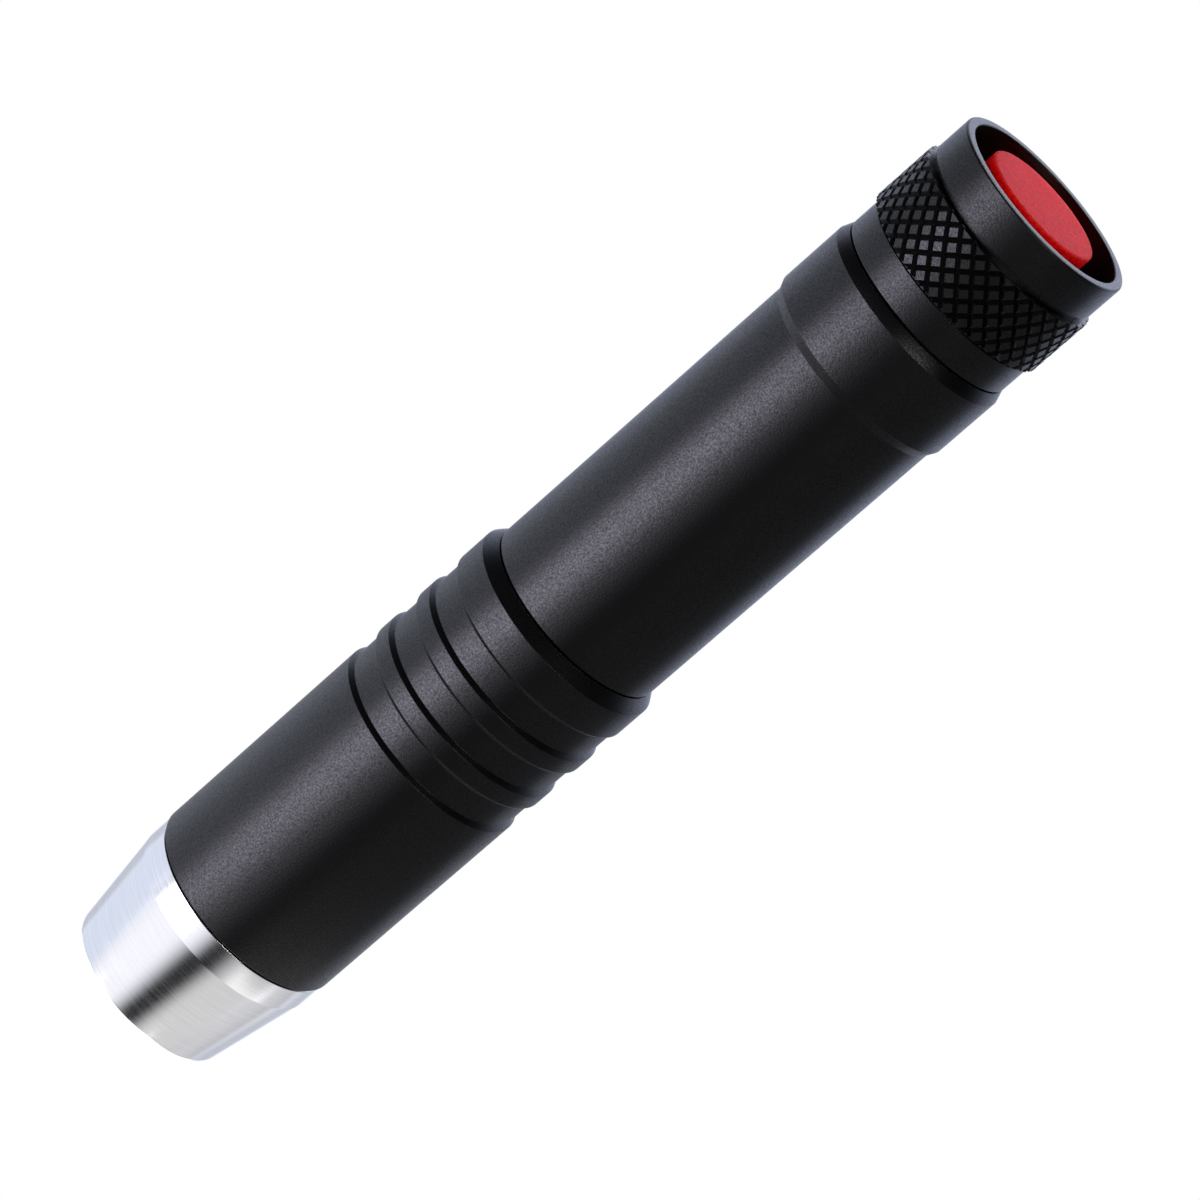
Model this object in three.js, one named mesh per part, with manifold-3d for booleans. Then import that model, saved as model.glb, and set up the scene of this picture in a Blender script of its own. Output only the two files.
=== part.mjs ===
// Pocket flashlight: nose, head, battery tube and tail cap screwed together round one lithium cell.
// Millimetres. It stands on the flat front of its nose, and Z runs from there to the tail.

import * as THREE from "three";
import { mergeVertices } from "three/addons/utils/BufferGeometryUtils.js";
import Module from "manifold-3d";

const wasm = await Module();
wasm.setup();

// Clearances
const seatGap = 0.2; // between faces that press on each other
const slideGap = 0.25; // radial play of what slides, turns or drops into a bore
const ringGap = 0.15; // between a thin or soft piece and what holds it

// Facets
const turnSides = 24; // round the large turned pieces, and in each turn of thread
const smallSides = 20; // round the small turned pieces
const arcSteps = 4; // along a rounded edge
const weldDistance = 1e-4; // vertices closer than this are one

// Lithium cell
const cellRadius = 9;
const cellLength = 64; // the can, without its cap
const cellEdge = 0.8;
const cellCapRadius = 3.1;
const cellCapHeight = 1.2;
const cellWasherWidth = 3.6;
const cellWasherThickness = 0.4;

// Screw threads, all right-handed
const threadPitch = 1.25;
const threadDepth = 0.5;
const threadRootWidth = 0.62;
const threadCrestWidth = 0.28;
const threadPlay = 0.2; // radial, at crest and root
const threadSink = 0.2; // how far a ridge's foot reaches into its wall
const threadRunOut = 0.25; // the part of a turn in which a ridge rises from its wall
const noseThreadTurns = 3;
const headThreadTurns = 4;
const tailThreadTurns = 3;

// Threaded spigots, from shoulder to end
const spigotLand = 0.7;
const ringSideGap = 0.2; // each side of a sealing ring in its groove
const spigotSecondLand = 0.6;
const spigotThreadLead = 0.3;
const spigotChamfer = 0.4;

// Sealing rings, by the diameter of their section
const noseRingSection = 0.9;
const headRingSection = 0.6;
const tailRingSection = 0.9;
const lensSealSection = 1;

// Battery tube
const tubeWall = 1.75;
const tubeSpigotWall = 0.6; // under the thread's root
const bandStep = 0.5; // height of the raised band at the tail end
const bandLength = 9.8;
const bandRiseLength = 1.1;
const bandFallLength = 1.3;
const bandWall = 0.95; // outside the tail cap's bore

// Head
const headStep = 1; // how far the head stands out past the tube
const headLength = 48.65;
const headBevelLength = 1.4;
const headLastRidge = 3.75;
const grooveCount = 3;
const grooveWidth = 4;
const grooveDepth = 0.42;
const grooveSlope = 0.5; // length of a groove's sloped wall, on its nose side
const grooveEndSlope = 0.4; // and on its tail side
const ridgeWidth = 1.95;
const headFrontWall = 1.05; // outside the nose's bore
const headBoreStep = 0.35; // how much wider the head's waist is than the tube's bore
const edgeBreak = 0.15; // small chamfer on turned edges

// Nose
const noseLength = 15.5;
const noseLandLength = 3.1;
const noseLandInset = 0.13; // how far the land lies inside the head's surface
const noseTaper = 1.85; // radius lost along the cone
const noseEdgeRadius = 1.2;
const noseLip = 1.4;
const noseLipOverlap = 1.2; // how far the lip covers the lens
const noseLipChamfer = 0.4;
const noseSpigotWall = 0.95; // under the thread's root

// Lens, reflector and LED
const lensThickness = 1.8;
const reflectorRim = 0.7; // width of the flat rim at the mouth
const reflectorWall = 1.2;
const reflectorThroat = 2.7;
const reflectorBossWidth = 2.2;
const reflectorSteps = 5;
const centringRingThickness = 0.9;
const centringRingWidth = 1.6;
const ledSide = 3.5;
const ledThickness = 0.7;
const ledDomeRadius = 1.4;
const ledBoardRadius = 8;
const ledBoardThickness = 1.6;

// Pill and driver
const pillSetback = 0.9; // from the nose's spigot to the pill
const pillPlate = 3;
const pillWall = 1.6;
const pillDriverWall = 0.8;
const pillCavity = 6.5;
const pillTail = 0.4; // past the driver's retaining ring
const driverThickness = 1.6;
const driverRingThickness = 1.6;
const driverRingWidth = 3.1;
const driverChipSize = new THREE.Vector3(5, 4, 1.1);
const driverInductorSize = new THREE.Vector3(4.5, 4.5, 3);
const driverPartOffset = 3.2; // from the axis to the middle of each part
const leadRadius = 0.45;
const leadOffset = 6.3; // from the axis to each lead
const leadBend = 0.7; // how far a lead's end turns in over the LED board
const leadLift = 0.85; // from the LED board to the middle of that end
const leadSides = 6;
const leadStepsPerPoint = 3;

// Springs
const springSides = 5;
const springStepsPerTurn = 8;
const driverSpringLength = 4.2;
const driverSpringRadius = 3;
const driverSpringWire = 0.35; // radius of the wire
const driverSpringTurns = 3;
const tailSpringLength = 6.4;
const tailSpringCellRadius = 3.4;
const tailSpringBoardRadius = 5;
const tailSpringWire = 0.4;
const tailSpringTurns = 4;
const springLeastGap = 0.4;

// Tail cap
const skirtLength = 3.5;
const knurlLength = 7.6;
const knurlStep = 0.5;
const knurlLeadIn = 0.3;
const knurlLeadOut = 0.5;
const collarLength = 4.5;
const collarStep = 0.05;
const collarWall = 1.1;
const collarEdgeRadius = 0.25;
const collarInnerChamfer = 0.15;
const recessDepth = 6.2;
const webThickness = 1.5;
const tailSpigotWall = 1.35; // under the thread's root

// Switch
const switchBoardInset = 1.3; // from the switch board's front up to the cap's shoulder
const switchBoardThickness = 1.6;
const switchRingThickness = 1.8;
const switchRingWidth = 2;
const spannerSlotWidth = 1.6;
const spannerSlotDepth = 0.9;
const switchSpacerWall = 1.2;
const switchSide = 8.4;
const switchHeight = 4.1;
const switchFloor = 0.5; // under the plunger's hole
const plungerRadius = 2.2;
const pressTravel = 1.8;

// Boot
const buttonRadius = 6.95;
const buttonInset = 0.13; // from the collar's rim down to the top of the button
const buttonEdgeRadius = 0.3;
const bootWall = 0.8;
const bootRoof = 1.5;
const bootStubRadius = 2.6;
const bootFlangeThickness = 1.4;
const bootNeckWall = 1.2;
const bootNeckHeight = 3;
const bootWasherThickness = 1;
const bootWasherWidth = 3;

// Radii that follow
const tubeBore = cellRadius + slideGap;
const gripRadius = tubeBore + tubeWall;
const bandRadius = gripRadius + bandStep;
const headRadius = gripRadius + headStep;
const headBore = tubeBore + headBoreStep;
const noseLandRadius = headRadius - noseLandInset;

// A screw joint's radii: the spigot's crest and root, and the bore's wall and the crest of its own ridge.
function screwRadii(crest) {
  const root = crest - threadDepth;
  return { crest, root, bore: crest + threadPlay, boreCrest: root + threadPlay };
}
const noseScrew = screwRadii(headRadius - headFrontWall - threadPlay);
const headScrew = screwRadii(tubeBore + tubeSpigotWall + threadDepth);
const tailScrew = screwRadii(bandRadius - bandWall - threadPlay);

const noseBore = noseScrew.root - noseSpigotWall;
const lensRadius = noseBore - slideGap;
const apertureRadius = lensRadius - noseLipOverlap;
const pillRadius = headBore - slideGap;
const driverRadius = pillRadius - pillDriverWall - slideGap;
const capCavity = tailScrew.root - tailSpigotWall;
const capFitRadius = capCavity - slideGap;
const knurlRadius = gripRadius + knurlStep;
const collarRadius = gripRadius + collarStep;
const recessRadius = collarRadius - collarWall;
const webOpening = buttonRadius + slideGap;
const bootNeckRadius = buttonRadius - bootWall - slideGap;

// Heights that follow, from the nose to the tail
function spigotGroove(section) {
  return section + 2 * ringSideGap;
}
function spigotThreadStart(section) {
  const lands = spigotLand + spigotGroove(section) + spigotSecondLand;
  return lands + spigotThreadLead + threadRootWidth / 2;
}
function spigotLength(section, turns) {
  const threadEnd = spigotThreadStart(section) + turns * threadPitch;
  return threadEnd + threadRootWidth / 2 + spigotChamfer;
}
const headFront = noseLength + seatGap;
const noseSpigotEnd = noseLength + spigotLength(noseRingSection, noseThreadTurns);
const headEnd = headFront + headLength;

const sealFront = noseLip + ringGap;
const lensFront = sealFront + lensSealSection + ringGap;
const reflectorFront = lensFront + lensThickness + seatGap;
const pillFront = noseSpigotEnd + pillSetback;
const shelf = pillFront + pillPlate + seatGap;
const ledBoardFront = pillFront - seatGap - ledBoardThickness;
const centringRingBack = ledBoardFront - seatGap;
const centringRingFront = centringRingBack - centringRingThickness;
const reflectorBack = centringRingFront - seatGap;
const ledFront = ledBoardFront - ringGap - ledThickness;
const driverSeat = pillFront + pillPlate + pillCavity;
const driverFront = driverSeat + seatGap;
const driverBack = driverFront + driverThickness;
const driverRingFront = driverBack + seatGap;
const pillBack = driverRingFront + driverRingThickness + pillTail;

const driverSpringFront = driverBack + seatGap;
const cellFront = driverSpringFront + driverSpringLength + seatGap;
const canFront = cellFront + cellCapHeight + ringGap;
const canBack = canFront + cellLength;
const tailSpringFront = canBack + seatGap;
const switchBoardFront = tailSpringFront + tailSpringLength + seatGap;
const switchBoardBack = switchBoardFront + switchBoardThickness;

const capShoulder = switchBoardFront + switchBoardInset;
const tubeBack = capShoulder - seatGap;
const tubeShoulder = headEnd + seatGap;
const tubeFront = tubeShoulder - spigotLength(headRingSection, headThreadTurns);
const tailSpigotEnd = capShoulder - spigotLength(tailRingSection, tailThreadTurns);
const knurlFront = capShoulder + skirtLength;
const knurlBack = knurlFront + knurlLength;
const rim = knurlBack + collarLength;
const recessFloor = rim - recessDepth;
const webUnderside = recessFloor - webThickness;
const bootFlangeTop = webUnderside - seatGap;
const bootFlangeBottom = bootFlangeTop - bootFlangeThickness;
const bootWasherTop = bootFlangeBottom - seatGap;
const bootWasherBottom = bootWasherTop - bootWasherThickness;
const switchBodyFront = switchBoardBack + seatGap;
const switchBodyBack = switchBodyFront + switchHeight;
const plungerFront = switchBodyFront + switchFloor + pressTravel + seatGap;
const stubBottom = switchBodyBack + pressTravel + seatGap;
const buttonTop = rim - buttonInset;

// Shapes

// A turned piece: an outline of [radius, height] pairs, anticlockwise, swept round the axis.
function turned(outline, sides = turnSides) {
  const closed = outline[0][0] > 0;
  const points = closed ? [...outline, outline[0]] : outline;
  const profile = points.map(([radius, height]) => new THREE.Vector2(radius, height));
  return new THREE.LatheGeometry(profile, sides).rotateX(Math.PI / 2);
}

// Points of an arc in the outline's plane, both ends included.
function arc(radius, height, size, from, to) {
  const points = [];
  for (let step = 0; step <= arcSteps; step++) {
    const angle = from + ((to - from) * step) / arcSteps;
    points.push([radius + size * Math.cos(angle), height + size * Math.sin(angle)]);
  }
  return points;
}

// A plain ring of square section between two heights.
function ring(inner, outer, low, high, sides = smallSides) {
  const outline = [
    [inner, low],
    [outer, low],
    [outer, high],
    [inner, high],
  ];
  return turned(outline, sides);
}

// A plain disc between two heights.
function disc(radius, low, high, sides = smallSides) {
  const outline = [
    [0, low],
    [radius, low],
    [radius, high],
    [0, high],
  ];
  return turned(outline, sides);
}

// A round sealing ring that lies just inside a bore.
function sealingRing(bore, section, middle) {
  const half = section / 2;
  const lastAngle = 2 * Math.PI * (1 - 1 / (arcSteps + 1));
  return turned(arc(bore - ringGap - half, middle, half, 0, lastAngle), smallSides);
}

// A block with its middle at x, y, from one height to another.
function block(size, x, y, low) {
  const geometry = new THREE.BoxGeometry(size.x, size.y, size.z);
  return geometry.translate(x, y, low + size.z / 2);
}

function solid(geometry) {
  const bare = geometry.clone();
  bare.deleteAttribute("normal");
  bare.deleteAttribute("uv");
  const merged = mergeVertices(bare, weldDistance);
  const vertProperties = merged.getAttribute("position").array;
  const triVerts = new Uint32Array(merged.index.array);
  return new wasm.Manifold(new wasm.Mesh({ numProp: 3, vertProperties, triVerts }));
}

function shaped(body) {
  const { vertProperties, triVerts } = body.getMesh();
  const geometry = new THREE.BufferGeometry();
  geometry.setAttribute("position", new THREE.BufferAttribute(vertProperties, 3));
  geometry.setIndex(new THREE.BufferAttribute(triVerts, 1));
  geometry.computeVertexNormals();
  return geometry;
}

function joined(geometry, ...extras) {
  return shaped(extras.reduce((body, extra) => body.add(solid(extra)), solid(geometry)));
}

function cut(geometry, ...cutters) {
  return shaped(cutters.reduce((body, cutter) => body.subtract(solid(cutter)), solid(geometry)));
}

// A thread's ridge: a trapezoid carried up a right-handed helix. It runs out into its wall at both ends.
function threadRidge(root, crest, low, turns, startTurn = 0) {
  const outward = Math.sign(crest - root);
  const foot = root - outward * threadSink;
  const hidden = root - (outward * threadSink) / 2;
  const steps = Math.round(turns * turnSides);
  const runOut = threadRunOut * turnSides;
  const corners = [];
  for (let step = 0; step <= steps; step++) {
    const angle = 2 * Math.PI * (startTurn + step / turnSides);
    const rise = Math.min(1, step / runOut, (steps - step) / runOut);
    const top = hidden + rise * (crest - hidden);
    const middle = low + (threadPitch * step) / turnSides;
    const section = [
      [foot, middle - threadRootWidth / 2],
      [top, middle - threadCrestWidth / 2],
      [top, middle + threadCrestWidth / 2],
      [foot, middle + threadRootWidth / 2],
    ];
    if (outward < 0) section.reverse();
    for (const [radius, height] of section) {
      corners.push(radius * Math.sin(angle), -radius * Math.cos(angle), height);
    }
  }
  const faces = [0, 1, 2, 0, 2, 3];
  for (let first = 0; first < 4 * steps; first += 4) {
    for (let side = 0; side < 4; side++) {
      const a = first + side;
      const b = first + ((side + 1) % 4);
      faces.push(b, a, a + 4, b, a + 4, b + 4);
    }
  }
  const last = 4 * steps;
  faces.push(last + 2, last + 1, last, last + 3, last + 2, last);
  const geometry = new THREE.BufferGeometry();
  geometry.setAttribute("position", new THREE.Float32BufferAttribute(corners, 3));
  return geometry.setIndex(faces);
}

// A spigot's outline from its shoulder to its end. Facing is 1 where it points to the tail, or else -1.
function spigotOutline(screw, section, turns, shoulder, facing) {
  const grooveStart = shoulder + facing * spigotLand;
  const grooveEnd = grooveStart + facing * spigotGroove(section);
  const threadStart = grooveEnd + facing * spigotSecondLand;
  const end = shoulder + facing * spigotLength(section, turns);
  const floor = screw.bore - 2 * ringGap - section;
  return [
    [screw.crest, shoulder],
    [screw.crest, grooveStart],
    [floor, grooveStart],
    [floor, grooveEnd],
    [screw.crest, grooveEnd],
    [screw.crest, threadStart],
    [screw.root, threadStart],
    [screw.root, end - facing * spigotChamfer],
    [screw.root - spigotChamfer, end],
  ];
}

// The lowest height of a spigot's thread.
function threadLow(section, turns, shoulder, facing) {
  const start = shoulder + facing * spigotThreadStart(section);
  return facing > 0 ? start : start - turns * threadPitch;
}

function spigotThread(screw, section, turns, shoulder, facing) {
  return threadRidge(screw.root, screw.crest, threadLow(section, turns, shoulder, facing), turns);
}

// The bore's own ridge, half a pitch from the spigot's and clear of its lands.
function boreThread(screw, section, turns, shoulder, facing) {
  const shared = threadLow(section, turns, shoulder, facing);
  const low = facing > 0 ? shared + threadPitch / 2 : shared;
  const startTurn = facing > 0 ? 0 : 0.5;
  return threadRidge(screw.bore, screw.boreCrest, low, turns - 0.5, startTurn);
}

function ringMiddle(section, shoulder, facing) {
  return shoulder + facing * (spigotLand + spigotGroove(section) / 2);
}

class Coil extends THREE.Curve {
  constructor(lowRadius, highRadius, low, high, turns) {
    super();
    Object.assign(this, { lowRadius, highRadius, low, high, turns });
  }

  getPoint(share, target = new THREE.Vector3()) {
    const angle = 2 * Math.PI * this.turns * share;
    const radius = THREE.MathUtils.lerp(this.lowRadius, this.highRadius, share);
    const height = THREE.MathUtils.lerp(this.low, this.high, share);
    return target.set(radius * Math.cos(angle), radius * Math.sin(angle), height);
  }
}

// The least gap between points of a coil that lie half a turn or more apart along the wire.
function coilGap(coil, wire) {
  const points = coil.getPoints(coil.turns * springStepsPerTurn);
  const apart = springStepsPerTurn / 2;
  let least = Infinity;
  points.forEach((point, index) => {
    for (const other of points.slice(index + apart)) {
      least = Math.min(least, point.distanceTo(other) - 2 * wire);
    }
  });
  return least;
}

function polygon(radius, sides) {
  const points = [];
  for (let side = 0; side < sides; side++) {
    const angle = (2 * Math.PI * side) / sides;
    points.push(new THREE.Vector2(radius * Math.cos(angle), radius * Math.sin(angle)));
  }
  return new THREE.Shape(points);
}

function wireAlong(path, radius, sides, steps) {
  const settings = { steps, bevelEnabled: false, extrudePath: path };
  return new THREE.ExtrudeGeometry(polygon(radius, sides), settings);
}

function spring(name, lowRadius, highRadius, front, length, wire, turns) {
  const coil = new Coil(lowRadius, highRadius, front + wire, front + length - wire, turns);
  const gap = coilGap(coil, wire);
  console.log(`${name}: least gap ${gap.toFixed(2)} mm, wanted over ${springLeastGap} mm`);
  return wireAlong(coil, wire, springSides, turns * springStepsPerTurn);
}

// Shells

function noseCone() {
  const coneTop = noseLength - noseLandLength;
  const frontRadius = noseLandRadius - noseTaper;
  const slope = Math.atan2(noseTaper, coneTop);
  const edgeMiddle =
    frontRadius + noseEdgeRadius * Math.tan(slope) - noseEdgeRadius / Math.cos(slope);
  const outline = [
    [apertureRadius, noseLipChamfer],
    [apertureRadius + noseLipChamfer, 0],
    ...arc(edgeMiddle, noseEdgeRadius, noseEdgeRadius, -Math.PI / 2, -slope),
    [noseLandRadius, coneTop],
    [noseLandRadius, noseLength - edgeBreak],
    [noseLandRadius - edgeBreak, noseLength],
    ...spigotOutline(noseScrew, noseRingSection, noseThreadTurns, noseLength, 1),
    [noseBore, noseSpigotEnd],
    [noseBore, noseLip],
    [apertureRadius, noseLip],
  ];
  const ridge = spigotThread(noseScrew, noseRingSection, noseThreadTurns, noseLength, 1);
  return joined(turned(outline), ridge);
}

function headShell() {
  const bevelStart = headEnd - headBevelLength;
  const lastGrooveEnd = bevelStart - headLastRidge;
  const grooves = [];
  for (let groove = 0; groove < grooveCount; groove++) {
    const end = lastGrooveEnd - (grooveCount - 1 - groove) * (grooveWidth + ridgeWidth);
    const start = end - grooveWidth;
    grooves.push([headRadius, start]);
    grooves.push([headRadius - grooveDepth, start + grooveSlope]);
    grooves.push([headRadius - grooveDepth, end - grooveEndSlope]);
    grooves.push([headRadius, end]);
  }
  const outline = [
    [noseScrew.bore, headFront],
    [headRadius - edgeBreak, headFront],
    [headRadius, headFront + edgeBreak],
    ...grooves,
    [headRadius, bevelStart],
    [gripRadius, headEnd],
    [headScrew.bore, headEnd],
    [headScrew.bore, tubeFront - seatGap],
    [headBore, tubeFront - seatGap],
    [headBore, shelf],
    [noseScrew.bore, shelf],
  ];
  const noseRidge = boreThread(noseScrew, noseRingSection, noseThreadTurns, noseLength, 1);
  const tubeRidge = boreThread(headScrew, headRingSection, headThreadTurns, tubeShoulder, -1);
  return joined(turned(outline), noseRidge, tubeRidge);
}

function batteryTube() {
  const bandFront = tubeBack - bandLength;
  const spigot = spigotOutline(headScrew, headRingSection, headThreadTurns, tubeShoulder, -1);
  const outline = [
    [tubeBore, tubeFront],
    ...spigot.reverse(),
    [gripRadius - edgeBreak, tubeShoulder],
    [gripRadius, tubeShoulder + edgeBreak],
    [gripRadius, bandFront],
    [bandRadius, bandFront + bandRiseLength],
    [bandRadius, tubeBack - bandFallLength],
    [gripRadius, tubeBack],
    [tailScrew.bore, tubeBack],
    [tailScrew.bore, tailSpigotEnd - seatGap],
    [tubeBore, tailSpigotEnd - seatGap],
  ];
  const headRidge = spigotThread(headScrew, headRingSection, headThreadTurns, tubeShoulder, -1);
  const tailRidge = boreThread(tailScrew, tailRingSection, tailThreadTurns, capShoulder, -1);
  return joined(turned(outline), headRidge, tailRidge);
}

function tailCap() {
  const spigot = spigotOutline(tailScrew, tailRingSection, tailThreadTurns, capShoulder, -1);
  const edgeMiddle = collarRadius - collarEdgeRadius;
  const outline = [
    [capCavity, tailSpigotEnd],
    ...spigot.reverse(),
    [gripRadius - edgeBreak, capShoulder],
    [gripRadius, capShoulder + edgeBreak],
    [gripRadius, knurlFront],
    [knurlRadius, knurlFront + knurlLeadIn],
    [knurlRadius, knurlBack - knurlLeadOut],
    [collarRadius, knurlBack],
    ...arc(edgeMiddle, rim - collarEdgeRadius, collarEdgeRadius, 0, Math.PI / 2),
    [recessRadius + collarInnerChamfer, rim],
    [recessRadius, rim - collarInnerChamfer],
    [recessRadius, recessFloor],
    [webOpening, recessFloor],
    [webOpening, webUnderside],
    [capCavity, webUnderside],
  ];
  const ridge = spigotThread(tailScrew, tailRingSection, tailThreadTurns, capShoulder, -1);
  return joined(turned(outline), ridge);
}

// Light engine

function reflector() {
  const mouth = lensRadius - reflectorRim;
  const length = reflectorBack - reflectorFront;
  const boss = reflectorThroat + reflectorBossWidth;
  const inside = [];
  const outside = [];
  for (let step = 0; step <= reflectorSteps; step++) {
    const share = step / reflectorSteps;
    const radius = Math.sqrt(THREE.MathUtils.lerp(mouth ** 2, reflectorThroat ** 2, share));
    const height = reflectorFront + length * share;
    inside.push([radius, height]);
    outside.push([Math.max(boss, Math.min(lensRadius, radius + reflectorWall)), height]);
  }
  return turned([...outside, ...inside.reverse()]);
}

function ledDome() {
  const foot = ledFront - ringGap;
  const outline = [...arc(0, foot, ledDomeRadius, -Math.PI / 2, 0), [0, foot]];
  return turned(outline, smallSides);
}

// Holes for the two leads, between two heights.
function leadHoles(low, high) {
  const hole = disc(leadRadius + slideGap, low, high);
  return [1, -1].map((side) => hole.clone().translate(side * leadOffset, 0, 0));
}

function ledBoard() {
  const back = ledBoardFront + ledBoardThickness;
  const holes = leadHoles(ledBoardFront - seatGap, back + seatGap);
  return cut(disc(ledBoardRadius, ledBoardFront, back), ...holes);
}

function pill() {
  const plateBack = pillFront + pillPlate;
  const outline = [
    [0, pillFront],
    [noseScrew.root, pillFront],
    [noseScrew.root, plateBack],
    [pillRadius, plateBack],
    [pillRadius, pillBack],
    [driverRadius + slideGap, pillBack],
    [driverRadius + slideGap, driverSeat],
    [pillRadius - pillWall, driverSeat],
    [pillRadius - pillWall, plateBack],
    [0, plateBack],
  ];
  return cut(turned(outline), ...leadHoles(pillFront - seatGap, plateBack + seatGap));
}

// A lead from the driver board through the pill and the LED board, with its end turned in.
function lead(side) {
  const end = ledBoardFront - leadLift;
  const route = [
    [leadOffset, driverFront - seatGap],
    [leadOffset, pillFront + pillPlate / 2],
    [leadOffset, ledBoardFront + ledBoardThickness / 2],
    [leadOffset, ledBoardFront - leadRadius],
    [leadOffset - leadBend, end],
  ];
  const points = route.map(([offset, height]) => new THREE.Vector3(side * offset, 0, height));
  const steps = leadStepsPerPoint * route.length;
  return wireAlong(new THREE.CatmullRomCurve3(points), leadRadius, leadSides, steps);
}

// Cuts one slot right across a ring's face.
function spannerSlots(geometry, radius, face) {
  const reach = 2 * (radius + slideGap);
  const size = new THREE.Vector3(reach, spannerSlotWidth, 2 * spannerSlotDepth);
  return cut(geometry, block(size, 0, 0, face - spannerSlotDepth));
}

function driverRetainingRing() {
  const back = driverRingFront + driverRingThickness;
  const plain = ring(driverRadius - driverRingWidth, driverRadius, driverRingFront, back);
  return spannerSlots(plain, driverRadius, back);
}

// Cell

function batteryCan() {
  const edgeRadius = cellRadius - cellEdge;
  const outline = [
    [0, canFront],
    ...arc(edgeRadius, canFront + cellEdge, cellEdge, -Math.PI / 2, 0),
    ...arc(edgeRadius, canBack - cellEdge, cellEdge, 0, Math.PI / 2),
    [0, canBack],
  ];
  return turned(outline, smallSides);
}

function batteryWasher() {
  const inner = cellCapRadius + slideGap;
  const back = canFront - ringGap;
  return ring(inner, inner + cellWasherWidth, back - cellWasherThickness, back);
}

// Switch and boot

function switchRetainingRing() {
  const back = switchBoardFront - seatGap;
  const front = back - switchRingThickness;
  const plain = ring(capFitRadius - switchRingWidth, capFitRadius, front, back);
  return spannerSlots(plain, capFitRadius, front);
}

function switchBody() {
  const size = new THREE.Vector3(switchSide, switchSide, switchHeight);
  const hole = disc(plungerRadius + slideGap, switchBodyFront + switchFloor, switchBodyBack + seatGap);
  return cut(block(size, 0, 0, switchBodyFront), hole);
}

function bootFlange() {
  const outline = [
    [bootNeckRadius - bootNeckWall, bootFlangeBottom],
    [capFitRadius, bootFlangeBottom],
    [capFitRadius, bootFlangeTop],
    [bootNeckRadius, bootFlangeTop],
    [bootNeckRadius, bootFlangeTop + bootNeckHeight],
    [bootNeckRadius - bootNeckWall, bootFlangeTop + bootNeckHeight],
  ];
  return turned(outline);
}

function tailButton() {
  const skirtBottom = bootFlangeTop + pressTravel + seatGap;
  const roof = buttonTop - bootRoof;
  const inner = buttonRadius - bootWall;
  const edgeMiddle = buttonRadius - buttonEdgeRadius;
  const outline = [
    [0, stubBottom],
    [bootStubRadius, stubBottom],
    [bootStubRadius, roof],
    [inner, roof],
    [inner, skirtBottom],
    [buttonRadius, skirtBottom],
    ...arc(edgeMiddle, buttonTop - buttonEdgeRadius, buttonEdgeRadius, 0, Math.PI / 2),
    [0, buttonTop],
  ];
  return turned(outline);
}

// Finishes: colour, roughness, metalness
const finishes = {
  bareAluminium: ["#cfcfd1", 0.3, 1],
  blackAnodised: ["#1c1c1f", 0.5, 0.6],
  redSilicone: ["#d2353a", 0.6, 0],
  blackRubber: ["#161616", 0.8, 0],
  clearGlass: ["#e6eff0", 0.05, 0],
  mirrorCoat: ["#e4e4e8", 0.08, 1],
  brass: ["#c09a4c", 0.35, 1],
  nickelSteel: ["#b8b8b2", 0.3, 1],
  whiteBoard: ["#e8e8e2", 0.5, 0],
  greenBoard: ["#1f5a36", 0.5, 0],
  whitePlastic: ["#efede6", 0.5, 0],
  blackPlastic: ["#202022", 0.5, 0],
  phosphor: ["#e6d257", 0.5, 0],
  blueSleeve: ["#2f5f9a", 0.4, 0],
  redSleeve: ["#b4241d", 0.5, 0],
};

const flashlight = new THREE.Group();

function addPiece(name, finish, geometry) {
  const [color, roughness, metalness] = finishes[finish];
  const material = new THREE.MeshStandardMaterial({ color, roughness, metalness });
  const mesh = new THREE.Mesh(geometry, material);
  mesh.name = name;
  flashlight.add(mesh);
}

const sealMiddle = sealFront + lensSealSection / 2;
const noseRingMiddle = ringMiddle(noseRingSection, noseLength, 1);
const headRingMiddle = ringMiddle(headRingSection, tubeShoulder, -1);
const tailRingMiddle = ringMiddle(tailRingSection, capShoulder, -1);
const ledSize = new THREE.Vector3(ledSide, ledSide, ledThickness);
const chipFront = driverFront - ringGap - driverChipSize.z;
const inductorFront = driverFront - ringGap - driverInductorSize.z;
const spacerBack = bootWasherBottom - seatGap;

addPiece("nose_cone", "bareAluminium", noseCone());
addPiece("nose_oring", "blackRubber", sealingRing(noseScrew.bore, noseRingSection, noseRingMiddle));
addPiece("lens_seal", "blackRubber", sealingRing(noseBore, lensSealSection, sealMiddle));
addPiece("front_lens", "clearGlass", disc(lensRadius, lensFront, lensFront + lensThickness, turnSides));
addPiece("reflector", "mirrorCoat", reflector());
addPiece(
  "led_centring_ring",
  "whitePlastic",
  ring(reflectorThroat, reflectorThroat + centringRingWidth, centringRingFront, centringRingBack),
);
addPiece("led_dome", "clearGlass", ledDome());
addPiece("led_emitter", "phosphor", block(ledSize, 0, 0, ledFront));
addPiece("led_board", "whiteBoard", ledBoard());
addPiece("pill", "brass", pill());
addPiece("lead_positive", "redSleeve", lead(1));
addPiece("lead_negative", "blackPlastic", lead(-1));
addPiece("driver_board", "greenBoard", disc(driverRadius, driverFront, driverBack));
addPiece("driver_chip", "blackPlastic", block(driverChipSize, 0, -driverPartOffset, chipFront));
addPiece(
  "driver_inductor",
  "blackPlastic",
  block(driverInductorSize, 0, driverPartOffset, inductorFront),
);
addPiece("driver_retaining_ring", "brass", driverRetainingRing());
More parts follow.
